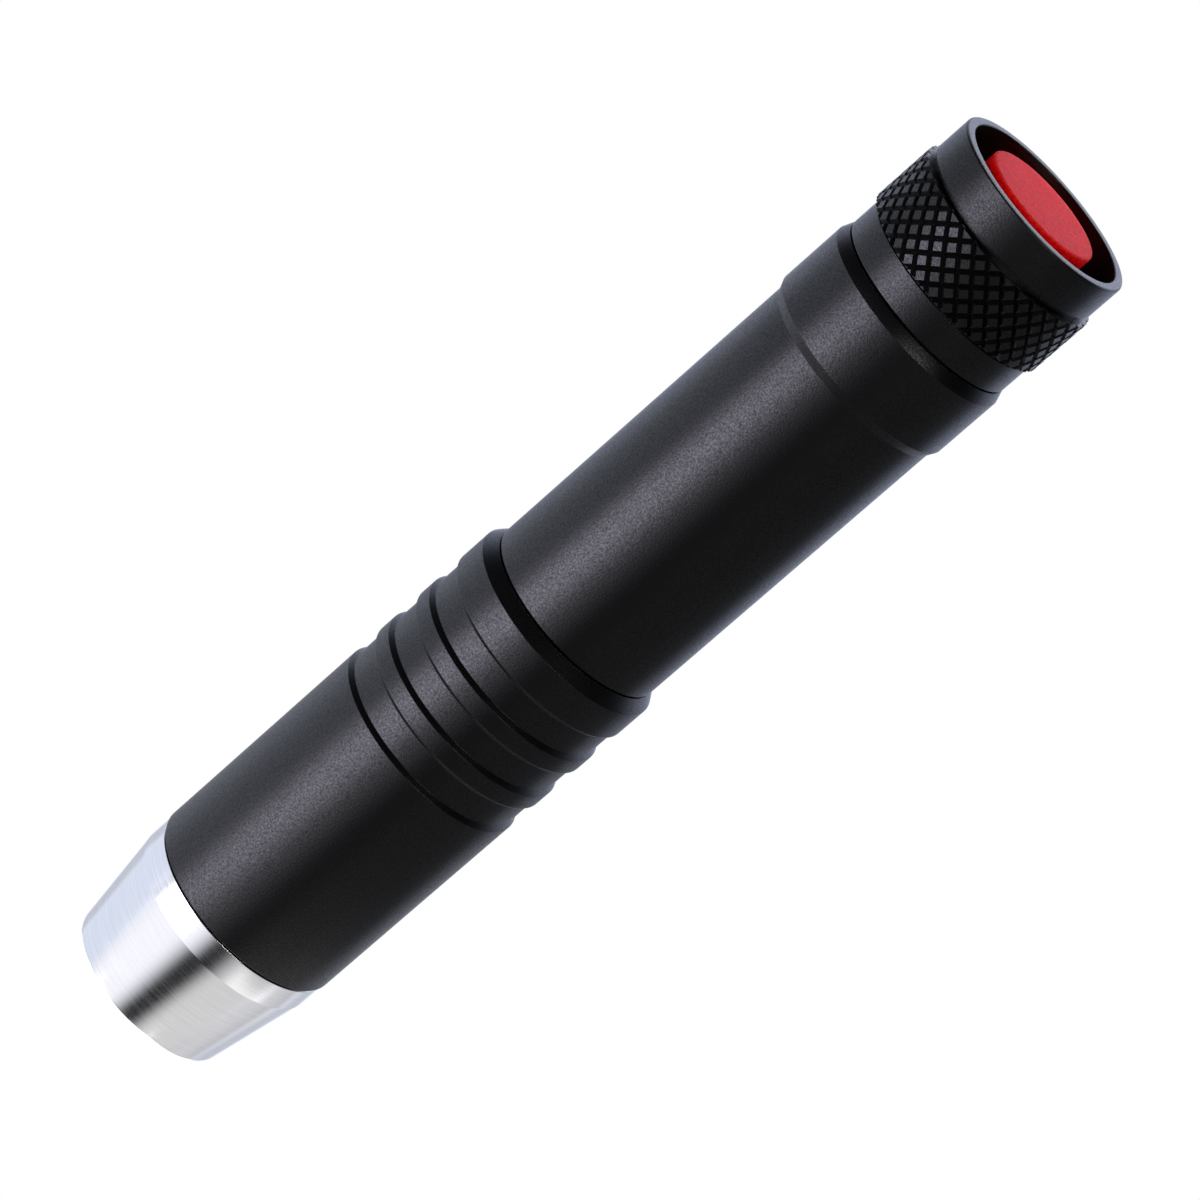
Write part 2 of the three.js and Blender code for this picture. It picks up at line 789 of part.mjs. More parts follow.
addPiece(
  "driver_spring",
  "nickelSteel",
  spring(
    "driver_spring",
    driverSpringRadius,
    driverSpringRadius,
    driverSpringFront,
    driverSpringLength,
    driverSpringWire,
    driverSpringTurns,
  ),
);
addPiece("head_shell", "blackAnodised", headShell());
addPiece("battery_positive_cap", "nickelSteel", disc(cellCapRadius, cellFront, cellFront + cellCapHeight));
addPiece("battery_washer", "whitePlastic", batteryWasher());
addPiece("battery_can", "blueSleeve", batteryCan());
addPiece("head_oring", "blackRubber", sealingRing(headScrew.bore, headRingSection, headRingMiddle));
addPiece("battery_tube", "blackAnodised", batteryTube());
addPiece(
  "tail_spring",
  "nickelSteel",
  spring(
    "tail_spring",
    tailSpringCellRadius,
    tailSpringBoardRadius,
    tailSpringFront,
    tailSpringLength,
    tailSpringWire,
    tailSpringTurns,
  ),
);
addPiece("tail_oring", "blackRubber", sealingRing(tailScrew.bore, tailRingSection, tailRingMiddle));
addPiece("tail_cap", "blackAnodised", tailCap());
addPiece("switch_retaining_ring", "bareAluminium", switchRetainingRing());
addPiece("switch_board", "greenBoard", disc(capFitRadius, switchBoardFront, switchBoardBack));
addPiece(
  "switch_spacer",
  "whitePlastic",
  ring(capFitRadius - switchSpacerWall, capFitRadius, switchBodyFront, spacerBack),
);
addPiece("switch_body", "blackPlastic", switchBody());
addPiece("switch_plunger", "whitePlastic", disc(plungerRadius, plungerFront, stubBottom - seatGap));
addPiece(
  "boot_washer",
  "whitePlastic",
  ring(capFitRadius - bootWasherWidth, capFitRadius, bootWasherBottom, bootWasherTop),
);
addPiece("boot_flange", "redSilicone", bootFlange());
addPiece("tail_button", "redSilicone", tailButton());

export default flashlight;
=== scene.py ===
"""Pocket flashlight: four turned aluminium shells, screwed together round one cell, and a red boot.

Sizes are in millimetres, and a finished mesh is scaled to metres. Lights are placed in metres.
The part stands on its nose, and Z is its axis.
"""

import math

import bmesh
import bpy
from mathutils import Matrix, Quaternion, Vector
from mathutils.geometry import interpolate_bezier

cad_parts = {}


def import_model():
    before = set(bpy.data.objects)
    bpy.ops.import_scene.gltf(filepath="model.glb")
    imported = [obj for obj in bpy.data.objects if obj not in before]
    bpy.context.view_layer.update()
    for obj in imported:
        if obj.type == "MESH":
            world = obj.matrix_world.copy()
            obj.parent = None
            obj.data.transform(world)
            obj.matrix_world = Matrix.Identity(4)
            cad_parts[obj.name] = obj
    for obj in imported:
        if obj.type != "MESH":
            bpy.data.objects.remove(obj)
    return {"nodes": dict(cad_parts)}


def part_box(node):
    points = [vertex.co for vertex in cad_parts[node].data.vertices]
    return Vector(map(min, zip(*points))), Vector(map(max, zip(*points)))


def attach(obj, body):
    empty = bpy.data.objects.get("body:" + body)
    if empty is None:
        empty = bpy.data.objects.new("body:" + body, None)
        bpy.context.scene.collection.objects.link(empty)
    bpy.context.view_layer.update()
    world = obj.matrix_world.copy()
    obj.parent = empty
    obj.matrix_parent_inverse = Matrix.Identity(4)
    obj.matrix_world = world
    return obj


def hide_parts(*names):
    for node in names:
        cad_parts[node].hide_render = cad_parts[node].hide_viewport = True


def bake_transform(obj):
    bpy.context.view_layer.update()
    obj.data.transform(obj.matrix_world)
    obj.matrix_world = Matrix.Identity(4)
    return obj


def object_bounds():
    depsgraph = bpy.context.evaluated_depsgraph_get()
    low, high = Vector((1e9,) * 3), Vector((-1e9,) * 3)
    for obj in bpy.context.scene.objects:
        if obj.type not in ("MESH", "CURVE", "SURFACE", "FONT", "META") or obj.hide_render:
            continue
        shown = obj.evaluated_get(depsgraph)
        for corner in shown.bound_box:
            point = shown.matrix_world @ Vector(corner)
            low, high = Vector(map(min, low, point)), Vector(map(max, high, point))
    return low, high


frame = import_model()
cad_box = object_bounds()

MM = 0.001

# Facets
SIDES = 192  # round the shells
THREAD_SIDES = 96  # in each turn of thread
SMALL_SIDES = 96  # round the smaller turned pieces
ARC_STEP = 12  # degrees between the points of a rounded corner
WELD = 1e-4  # points closer than this are one
THREAD_WELD = 0.01  # wider, because a spin that also climbs drifts a little
SHARP_ANGLE = math.radians(35)

# Clearances, as in the solids
SEAT_GAP = 0.2
SLIDE_GAP = 0.25
RING_GAP = 0.15

# Screw threads
PITCH = 1.25
THREAD_DEPTH = 0.5
THREAD_ROOT = 0.62  # width of a ridge at its foot
THREAD_CREST = 0.28
THREAD_PLAY = 0.2
THREAD_LEAD = 0.12  # plain wall beside a trimmed thread
NOSE_CREST = 10.75
TUBE_CREST = 10.35
CAP_CREST = 10.35

# Spigots
SPIGOT_LAND = 0.7
SPIGOT_SECOND_LAND = 0.6
SPIGOT_CHAMFER = 0.4
RING_SIDE = 0.2  # play beside a sealing ring
NOSE_RING = 0.9  # sections of the sealing rings
TUBE_RING = 0.6
CAP_RING = 0.9
WINDOW_RING = 1

# Rounding of turned edges
EDGE = 0.12
FINE_EDGE = 0.06


def span(node):
    """A node's lowest height, highest height and radius."""
    low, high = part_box(node)
    return low.z / MM, high.z / MM, high.x / MM


NOSE_LOW, NOSE_END, LAND_RADIUS = span("nose_cone")
HEAD_LOW, HEAD_HIGH, HEAD_RADIUS = span("head_shell")
TUBE_LOW, TUBE_HIGH, BAND_RADIUS = span("battery_tube")
CAP_LOW, RIM, KNURL_RADIUS = span("tail_cap")
NOSE_SHOULDER = HEAD_LOW - SEAT_GAP
TUBE_SHOULDER = HEAD_HIGH + SEAT_GAP
CAP_SHOULDER = TUBE_HIGH + SEAT_GAP
BAND_STEP = 0.5
GRIP_RADIUS = BAND_RADIUS - BAND_STEP


# Mesh making


def rounded(corners):
    """The points of an outline of (radius, height) corners. A third number is the corner's rounding."""
    points = []
    for index, (radius, height, *rounding) in enumerate(corners):
        here = Vector((radius, height))
        if not rounding:
            points.append(here)
            continue
        before = (Vector(corners[index - 1][:2]) - here).normalized()
        after = (Vector(corners[(index + 1) % len(corners)][:2]) - here).normalized()
        half_opening = before.angle(after) / 2
        middle = here + (before + after).normalized() * rounding[0] / math.sin(half_opening)
        reach = rounding[0] / math.tan(half_opening)
        first = here + before * reach - middle
        last = here + after * reach - middle
        start = math.atan2(first.y, first.x)
        sweep = (math.atan2(last.y, last.x) - start + math.pi) % math.tau - math.pi
        steps = max(2, round(abs(math.degrees(sweep)) / ARC_STEP))
        for step in range(steps + 1):
            angle = start + sweep * step / steps
            points.append(middle + rounding[0] * Vector((math.cos(angle), math.sin(angle))))
    return points


def take_in(bm, part):
    """Moves a part into the piece. It is made by itself, because operators are slow in a large mesh."""
    mesh = bpy.data.meshes.new("part")
    part.to_mesh(mesh)
    part.free()
    bm.from_mesh(mesh)
    bpy.data.meshes.remove(mesh)


def turn(bm, corners, sides=SIDES, closed=False):
    """Spins an outline of corners once round the axis."""
    part = bmesh.new()
    verts = [part.verts.new((radius, 0, height)) for radius, height in rounded(corners)]
    ends = verts[1:] + verts[:1] if closed else verts[1:]
    edges = [part.edges.new(pair) for pair in zip(verts, ends)]
    bmesh.ops.spin(
        part, geom=verts + edges, axis=(0, 0, 1), cent=(0, 0, 0),
        angle=math.tau, steps=sides, use_merge=True,
    )
    take_in(bm, part)


def trim(bm, low, high):
    """Cuts off what lies below or above two heights."""
    for height, outward in ((low, -1), (high, 1)):
        bmesh.ops.bisect_plane(
            bm, geom=[*bm.verts, *bm.edges, *bm.faces], dist=WELD,
            plane_co=(0, 0, height), plane_no=(0, 0, outward), clear_outer=True,
        )


def screw_wall(bm, root, crest, low, high, ridge):
    """A threaded wall between two heights, with a ridge at the height ridge on the +X side."""
    spare_turns = 2  # below the wall, which are trimmed off
    flank = (THREAD_ROOT - THREAD_CREST) / 2
    start = ridge + THREAD_ROOT / 2 - math.ceil((ridge - low) / PITCH + spare_turns) * PITCH
    profile = [
        (root, 0),
        (root, PITCH - THREAD_ROOT),
        (crest, PITCH - THREAD_ROOT + flank),
        (crest, PITCH - flank),
        (root, PITCH),
    ]
    part = bmesh.new()
    verts = [part.verts.new((radius, 0, start + height)) for radius, height in profile]
    edges = [part.edges.new(pair) for pair in zip(verts, verts[1:])]
    bmesh.ops.spin(
        part, geom=verts + edges, axis=(0, 0, 1), cent=(0, 0, 0), dvec=(0, 0, PITCH / THREAD_SIDES),
        angle=math.tau, steps=THREAD_SIDES,
    )
    one_turn = [*part.verts, *part.edges, *part.faces]
    for count in range(1, math.ceil((high - start) / PITCH) + 1):
        copy = bmesh.ops.duplicate(part, geom=one_turn)["geom"]
        copied = [item for item in copy if isinstance(item, bmesh.types.BMVert)]
        bmesh.ops.translate(part, verts=copied, vec=(0, 0, count * PITCH))
    bmesh.ops.remove_doubles(part, verts=part.verts, dist=THREAD_WELD)
    trim(part, low, high)
    take_in(bm, part)


def wire(bm, path, radius, sides=12):
    """A round wire along a path, with closed ends."""
    part = bmesh.new()
    steps = [after - before for before, after in zip(path, path[1:])]
    pairs = zip([steps[0], *steps], [*steps, steps[-1]])
    ways = [(before + after).normalized() for before, after in pairs]
    facing = Vector((0, 0, 1)).rotation_difference(ways[0]).to_matrix().to_4x4()
    bmesh.ops.create_circle(
        part, cap_ends=True, segments=sides, radius=radius, matrix=Matrix.Translation(path[0]) @ facing
    )
    edges = part.edges[:]
    for index in range(1, len(path)):
        made = bmesh.ops.extrude_edge_only(part, edges=edges)["geom"]
        verts = [item for item in made if isinstance(item, bmesh.types.BMVert)]
        swing = ways[index - 1].rotation_difference(ways[index]).to_matrix().to_4x4()
        move = Matrix.Translation(path[index]) @ swing @ Matrix.Translation(-path[index - 1])
        bmesh.ops.transform(part, matrix=move, verts=verts)
        edges = [edge for edge in part.edges if edge.verts[0] in verts and edge.verts[1] in verts]
    bmesh.ops.edgeloop_fill(part, edges=edges)
    take_in(bm, part)


def stitch(bm, low, high):
    """Bridges the two open rings between two heights."""
    rings = [
        edge for edge in bm.edges
        if edge.is_boundary and all(low < vert.co.z < high for vert in edge.verts)
    ]
    bmesh.ops.bridge_loops(bm, edges=rings)


def stitch_thread(bm, low, high):
    """Bridges a trimmed thread to the plain rings beside it."""
    reach = 1.5 * THREAD_LEAD
    stitch(bm, low - reach, low + reach)
    stitch(bm, high - reach, high + reach)


def finished(name, bm, material, body, slot, *nodes):
    """Makes the bmesh a piece, in metres, that rides on a body and stands for its nodes."""
    bmesh.ops.remove_doubles(bm, verts=bm.verts, dist=WELD)
    bmesh.ops.recalc_face_normals(bm, faces=bm.faces)
    bmesh.ops.scale(bm, verts=bm.verts, vec=(MM, MM, MM))
    mesh = bpy.data.meshes.new(name)
    bm.to_mesh(mesh)
    bm.free()
    mesh.shade_smooth()
    mesh.set_sharp_from_angle(angle=SHARP_ANGLE)
    mesh.materials.append(material)
    piece = bpy.data.objects.new(name, mesh)
    bpy.context.scene.collection.objects.link(piece)
    even = piece.modifiers.new("even_normals", "WEIGHTED_NORMAL")
    even.keep_sharp = True
    if body:
        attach(piece, body)
    if nodes:
        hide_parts(*nodes)
    return piece


def turned(name, corners, material, body, slot, *nodes, sides=SMALL_SIDES):
    """A piece of one closed outline, which may start and end on the axis."""
    bm = bmesh.new()
    turn(bm, corners, sides, closed=corners[0][0] > 0)
    return finished(name, bm, material, body, slot, *nodes)


# Materials

NOISE_RANGE = {"From Min": 0.3, "From Max": 0.7}  # nearly all of a noise texture lies between these


def linear(code):
    """A linear colour from sRGB hex."""
    channels = [int(code[start : start + 2], 16) / 255 for start in (1, 3, 5)]
    return (*[c / 12.92 if c <= 0.04045 else ((c + 0.055) / 1.055) ** 2.4 for c in channels], 1)


def add(tree, kind, inputs=None, **settings):
    """Adds a node with its settings. An input is a value, or the output that it is linked from."""
    node = tree.nodes.new(kind)
    for name, value in settings.items():
        setattr(node, name, value)
    for name, value in (inputs or {}).items():
        if isinstance(value, bpy.types.NodeSocket):
            tree.links.new(value, node.inputs[name])
        else:
            node.inputs[name].default_value = value
    return node


def surface(name, **values):
    """A material with one shader: its node tree, its shader, and Object coordinates in millimetres."""
    material = bpy.data.materials.new(name)
    material.use_nodes = True
    tree = material.node_tree
    shader = tree.nodes["Principled BSDF"]
    for socket, value in values.items():
        shader.inputs[socket.replace("_", " ")].default_value = value
    place = add(tree, "ShaderNodeTexCoord").outputs["Object"]
    scaled = add(tree, "ShaderNodeVectorMath", {0: place, "Scale": 1 / MM}, operation="SCALE")
    return material, tree, shader, scaled.outputs["Vector"]


def black_anodised():
    """Bead-blasted aluminium, anodised black: black, with a soft gloss broken into a fine even grit."""
    grit_size = 0.2  # drawn coarser than the dimples of real beads, so that it shows
    grit_height = 0.014
    cloud_size = 6
    roughness = {"To Min": 0.3, "To Max": 0.42}
    glint_level = {"To Min": 0.64, "To Max": 0.36}  # strongest where the roughness is lowest
    material, tree, shader, place = surface("black_anodised_aluminium")
    grit = add(tree, "ShaderNodeTexNoise", {"Vector": place, "Scale": 1 / grit_size, "Detail": 1.5})
    cloud = add(tree, "ShaderNodeTexNoise", {"Vector": place, "Scale": 1 / cloud_size, "Detail": 3})
    tint = add(
        tree, "ShaderNodeMix",
        {"Factor": cloud.outputs["Fac"], "A": linear("#020202"), "B": linear("#050506")},
        data_type="RGBA",
    )
    gloss = add(tree, "ShaderNodeMapRange", {"Value": grit.outputs["Fac"], **NOISE_RANGE, **roughness})
    glint = add(tree, "ShaderNodeMapRange", {"Value": grit.outputs["Fac"], **NOISE_RANGE, **glint_level})
    bump = add(
        tree, "ShaderNodeBump",
        {"Height": grit.outputs["Fac"], "Strength": 1, "Distance": grit_height * MM},
    )
    tree.links.new(glint.outputs["Result"], shader.inputs["Specular IOR Level"])
    tree.links.new(tint.outputs["Result"], shader.inputs["Base Color"])
    tree.links.new(gloss.outputs["Result"], shader.inputs["Roughness"])
    tree.links.new(bump.outputs["Normal"], shader.inputs["Normal"])
    return material


def bare_aluminium():
    """Aluminium left bright from the lathe: white metal with very fine lines round it."""
    line_spacing = 0.12  # drawn coarser than the real feed marks, so that they show
    line_height = 0.002
    line_drift = 0.02  # slow change on the way round, so that the lines run on
    roughness = {"To Min": 0.12, "To Max": 0.19}
    material, tree, shader, place = surface("turned_bare_aluminium", Metallic=1, Anisotropic=0.5)
    parts = add(tree, "ShaderNodeSeparateXYZ", {"Vector": place})
    level = add(tree, "ShaderNodeCombineXYZ", {"X": parts.outputs["X"], "Y": parts.outputs["Y"]})
    radius = add(tree, "ShaderNodeVectorMath", {0: level.outputs["Vector"]}, operation="LENGTH")
    along = add(tree, "ShaderNodeMath", {0: parts.outputs["Z"], 1: radius.outputs["Value"]})
    slow = add(
        tree, "ShaderNodeVectorMath", {0: level.outputs["Vector"], "Scale": line_drift}, operation="SCALE"
    )
    lift = add(tree, "ShaderNodeCombineXYZ", {"Z": along.outputs["Value"]})
    feed = add(tree, "ShaderNodeVectorMath", {0: slow.outputs["Vector"], 1: lift.outputs["Vector"]})
    lines = add(
        tree, "ShaderNodeTexNoise",
        {"Vector": feed.outputs["Vector"], "Scale": 1 / line_spacing, "Detail": 3},
    )
    tint = add(
        tree, "ShaderNodeMix",
        {"Factor": lines.outputs["Fac"], "A": linear("#e4e4e4"), "B": linear("#fcfcfc")},
        data_type="RGBA",
    )
    gloss = add(tree, "ShaderNodeMapRange", {"Value": lines.outputs["Fac"], **NOISE_RANGE, **roughness})
    bump = add(
        tree, "ShaderNodeBump",
        {"Height": lines.outputs["Fac"], "Strength": 1, "Distance": line_height * MM},
    )
    tangent = add(tree, "ShaderNodeTangent", direction_type="RADIAL", axis="Z")
    tree.links.new(tint.outputs["Result"], shader.inputs["Base Color"])
    tree.links.new(gloss.outputs["Result"], shader.inputs["Roughness"])
    tree.links.new(bump.outputs["Normal"], shader.inputs["Normal"])
    tree.links.new(tangent.outputs["Tangent"], shader.inputs["Tangent"])
    return material


def moulded(name, dark, light, grain, roughness, relief, **values):
    """A moulded or coated surface: two close colours in a grain that also shows in its gloss and relief.

    Grain is the width of the grain and relief its height.
    """
    gloss_spread = 0.15
    material, tree, shader, place = surface(name, **values)
    noise = add(tree, "ShaderNodeTexNoise", {"Vector": place, "Scale": 1 / grain, "Detail": 2})
    share = add(tree, "ShaderNodeMapRange", {"Value": noise.outputs["Fac"], **NOISE_RANGE})
    tint = add(
        tree, "ShaderNodeMix",
        {"Factor": share.outputs["Result"], "A": linear(dark), "B": linear(light)},
        data_type="RGBA",
    )
    gloss_range = {"To Min": roughness * (1 - gloss_spread), "To Max": roughness * (1 + gloss_spread)}
    gloss = add(tree, "ShaderNodeMapRange", {"Value": noise.outputs["Fac"], **NOISE_RANGE, **gloss_range})
    bump = add(
        tree, "ShaderNodeBump",
        {"Height": noise.outputs["Fac"], "Strength": 1, "Distance": relief * MM},
    )
    tree.links.new(tint.outputs["Result"], shader.inputs["Base Color"])
    tree.links.new(gloss.outputs["Result"], shader.inputs["Roughness"])
    tree.links.new(bump.outputs["Normal"], shader.inputs["Normal"])
    return material


BLACK_ANODISED = black_anodised()
BARE_ALUMINIUM = bare_aluminium()
# Translucent matt silicone from a spark-eroded mould: a strong red that glows through, and a fine speckle
RED_SILICONE = moulded(
    "red_silicone", "#b01014", "#f0262c", grain=0.3, roughness=0.55, relief=0.05, Specular_IOR_Level=0.04,
    Subsurface_Weight=1, Subsurface_Radius=(1, 0.15, 0.1), Subsurface_Scale=14 * MM,
)
# Nitrile rubber: dull black with a faint sheen
BLACK_RUBBER = moulded("nitrile_rubber", "#0d0d0d", "#191919", grain=0.3, roughness=0.6, relief=0.003)
# Polished float glass: clear, with a very slight waviness
CLEAR_GLASS = moulded(
    "float_glass", "#f7fbfa", "#ffffff", grain=8, roughness=0.02, relief=0.0005,
    Transmission_Weight=1, IOR=1.52,
)
# Cast silicone: clear and soft edged
CLEAR_SILICONE = moulded(
    "cast_silicone", "#f6f4ea", "#fffdf5", grain=2, roughness=0.08, relief=0.0005,
    Transmission_Weight=1, IOR=1.41,
)
# Vacuum-metallised cup: a mirror with a light orange peel that evens out the beam
MIRROR_COAT = moulded(
    "metallised_mirror", "#e6e6ea", "#f2f2f4", grain=0.9, roughness=0.06, relief=0.01, Metallic=1
)
# Turned brass: warm yellow metal with faint marks
BRASS = moulded("turned_brass", "#c79a46", "#d9b05c", grain=0.4, roughness=0.3, relief=0.002, Metallic=1)
# Nickel plate: slightly warm grey metal
NICKEL = moulded(
    "nickel_plated_steel", "#bdbab2", "#cfccc4", grain=0.5, roughness=0.25, relief=0.001, Metallic=1
)
# Solder masks: glassy resin over fine glass cloth
WHITE_BOARD = moulded("white_solder_mask", "#e4e4de", "#f0f0ea", grain=0.6, roughness=0.4, relief=0.004)
GREEN_BOARD = moulded("green_solder_mask", "#164a2a", "#226238", grain=0.6, roughness=0.35, relief=0.004)
# Moulded nylon: a warm white with a dull sheen
WHITE_PLASTIC = moulded("white_nylon", "#e6e3da", "#f2efe6", grain=0.4, roughness=0.45, relief=0.003)
# Moulding compound of chips and coils: near black, with a very fine grit
BLACK_PLASTIC = moulded(
    "black_moulding_compound", "#141415", "#202022", grain=0.15, roughness=0.5, relief=0.003
)
# Phosphor in silicone: a dull strong yellow
PHOSPHOR = moulded("yellow_phosphor", "#d9bd3c", "#ecd45a", grain=0.1, roughness=0.6, relief=0.003)
# Shrunk sleeve on the cell: smooth, with soft ripples
CELL_SLEEVE = moulded("blue_shrink_sleeve", "#1f4f8c", "#2a62a6", grain=7, roughness=0.3, relief=0.02)
# Wire insulation: smooth, slightly glossy red
RED_SLEEVE = moulded("red_wire_sleeve", "#a41a14", "#bd2a20", grain=0.5, roughness=0.4, relief=0.003)

NODE_FINISHES = {
    "led_emitter": PHOSPHOR,
    "led_board": WHITE_BOARD,
    "pill": BRASS,
    "driver_chip": BLACK_PLASTIC,
    "driver_inductor": BLACK_PLASTIC,
    "driver_retaining_ring": BRASS,
    "switch_retaining_ring": BARE_ALUMINIUM,
    "switch_body": BLACK_PLASTIC,
}
for node, finish in NODE_FINISHES.items():
    materials = frame["nodes"][node].data.materials
    materials.clear()
    materials.append(finish)


# Shells


def spigot(crest, section, shoulder, end):
    """A spigot's corners up to its thread, its corners from there to its end, and the thread's ends."""
    facing = math.copysign(1, end - shoulder)
    root = crest - THREAD_DEPTH
    groove = shoulder + facing * SPIGOT_LAND
    groove_end = groove + facing * (section + 2 * RING_SIDE)
    thread = groove_end + facing * SPIGOT_SECOND_LAND
    thread_end = end - facing * SPIGOT_CHAMFER
    floor = crest + THREAD_PLAY - 2 * RING_GAP - section
    lands = [
        (crest, shoulder),
        (crest, groove, EDGE),
        (floor, groove, EDGE),
        (floor, groove_end, EDGE),
        (crest, groove_end, EDGE),
        (crest, thread, EDGE),
        (root, thread),
        (root, thread + facing * THREAD_LEAD),
    ]
    tip = [
        (root, thread_end - facing * THREAD_LEAD),
        (root, thread_end),
        (root - SPIGOT_CHAMFER, end),
    ]
    ends = sorted((thread + facing * 2 * THREAD_LEAD, thread_end - facing * 2 * THREAD_LEAD))
    return lands, tip, ends


def bore(crest, ends):
    """The radii of a spigot's bore, and where the bore's own thread starts and ends."""
    low, high = ends
    return crest + THREAD_PLAY, crest + THREAD_PLAY - THREAD_DEPTH, low + PITCH / 2, high


NOSE_LANDS, NOSE_TIP, NOSE_THREAD = spigot(NOSE_CREST, NOSE_RING, NOSE_SHOULDER, NOSE_END)
TUBE_LANDS, TUBE_TIP, TUBE_THREAD = spigot(TUBE_CREST, TUBE_RING, TUBE_SHOULDER, TUBE_LOW)
CAP_LANDS, CAP_TIP, CAP_THREAD = spigot(CAP_CREST, CAP_RING, CAP_SHOULDER, CAP_LOW)


def nose():
    """Bare cone and land in one piece with the threaded spigot."""
    land_length = 3.1
    taper = 1.85
    front_rounding = 1.2
    crease_rounding = 1
    lip = 1.4
    lip_chamfer = 0.4
    aperture = 7.85
    wall = 0.95
    tube = NOSE_CREST - THREAD_DEPTH - wall
    crease = NOSE_SHOULDER - land_length
    outline = [
        *NOSE_TIP,
        (tube, NOSE_END, FINE_EDGE),
        (tube, NOSE_LOW + lip),
        (aperture, NOSE_LOW + lip, FINE_EDGE),
        (aperture, NOSE_LOW + lip_chamfer, FINE_EDGE),
        (aperture + lip_chamfer, NOSE_LOW, FINE_EDGE),
        (LAND_RADIUS - taper, NOSE_LOW, front_rounding),
        (LAND_RADIUS, crease, crease_rounding),
        (LAND_RADIUS, NOSE_SHOULDER, EDGE),
        *NOSE_LANDS,
    ]
    bm = bmesh.new()
    turn(bm, outline)
    screw_wall(bm, NOSE_CREST - THREAD_DEPTH, NOSE_CREST, *NOSE_THREAD, NOSE_THREAD[0])
    stitch_thread(bm, *NOSE_THREAD)
    return finished("bare_nose", bm, BARE_ALUMINIUM, "nose", "bare_aluminium", "nose_cone")


def head():
    """Black head: plain barrel, three shallow grooves, and a bevel down to the grip."""
    bevel_length = 1.4
    last_ridge = 3.75
    groove_count = 3
    groove_width = 4
    groove_depth = 0.42
    groove_slope = 0.5
    groove_end_slope = 0.4
    ridge_width = 1.95
    pill_flange = 3
    waist = 9.6
    bevel = HEAD_HIGH - bevel_length
    floor = HEAD_RADIUS - groove_depth
    shelf = span("pill")[0] + pill_flange + SEAT_GAP
    front_bore, front_crest, front_low, front_high = bore(NOSE_CREST, NOSE_THREAD)
    back_bore, back_crest, back_low, back_high = bore(TUBE_CREST, TUBE_THREAD)
    grooves = []
    for groove in range(groove_count):
        end = bevel - last_ridge - (groove_count - 1 - groove) * (groove_width + ridge_width)
        start = end - groove_width
        grooves += [
            (HEAD_RADIUS, start, EDGE),
            (floor, start + groove_slope, EDGE),
            (floor, end - groove_end_slope, EDGE),
            (HEAD_RADIUS, end, EDGE),
        ]
    outside = [
        (front_bore, front_low - THREAD_LEAD),
        (front_bore, HEAD_LOW, FINE_EDGE),
        (HEAD_RADIUS, HEAD_LOW, EDGE),
        *grooves,
        (HEAD_RADIUS, bevel, EDGE),
        (GRIP_RADIUS, HEAD_HIGH, FINE_EDGE),
        (back_bore, HEAD_HIGH, FINE_EDGE),
        (back_bore, back_high + THREAD_LEAD),
    ]
    inside = [
        (back_bore, back_low - THREAD_LEAD),
        (back_bore, TUBE_LOW - SEAT_GAP),
        (waist, TUBE_LOW - SEAT_GAP),
        (waist, shelf),
        (front_bore, shelf),
        (front_bore, front_high + THREAD_LEAD),
    ]
    bm = bmesh.new()
    turn(bm, outside)
    turn(bm, inside)
    screw_wall(bm, front_bore, front_crest, front_low, front_high, NOSE_THREAD[0] + PITCH / 2)
    screw_wall(bm, back_bore, back_crest, back_low, back_high, TUBE_THREAD[0] + PITCH / 2)
    stitch_thread(bm, front_low, front_high)
    stitch_thread(bm, back_low, back_high)
    return finished("grooved_head", bm, BLACK_ANODISED, "head", "black_anodised", "head_shell")


def grip():
    """Black battery tube: plain grip with a raised band at the tail."""
    band_length = 9.8
    rise = 1.1
    fall = 1.3
    cell_bore = 9.25
    band_front = TUBE_HIGH - band_length
    tail_bore, tail_crest, tail_low, tail_high = bore(CAP_CREST, CAP_THREAD)
    outside = [
        *reversed(TUBE_LANDS),
        (GRIP_RADIUS, TUBE_SHOULDER, EDGE),
        (GRIP_RADIUS, band_front, EDGE),
        (BAND_RADIUS, band_front + rise, EDGE),
        (BAND_RADIUS, TUBE_HIGH - fall, EDGE),
        (GRIP_RADIUS, TUBE_HIGH, FINE_EDGE),
        (tail_bore, TUBE_HIGH, FINE_EDGE),
        (tail_bore, tail_high + THREAD_LEAD),
    ]
    inside = [
        (tail_bore, tail_low - THREAD_LEAD),
        (tail_bore, CAP_LOW - SEAT_GAP),
        (cell_bore, CAP_LOW - SEAT_GAP),
        (cell_bore, TUBE_LOW, FINE_EDGE),
        *reversed(TUBE_TIP),
    ]
    bm = bmesh.new()
    turn(bm, outside)
    turn(bm, inside)
    screw_wall(bm, TUBE_CREST - THREAD_DEPTH, TUBE_CREST, *TUBE_THREAD, TUBE_THREAD[0])
    screw_wall(bm, tail_bore, tail_crest, tail_low, tail_high, CAP_THREAD[0] + PITCH / 2)
    stitch_thread(bm, *TUBE_THREAD)
    stitch_thread(bm, tail_low, tail_high)
    return finished("grip_tube", bm, BLACK_ANODISED, "barrel", "black_anodised", "battery_tube")


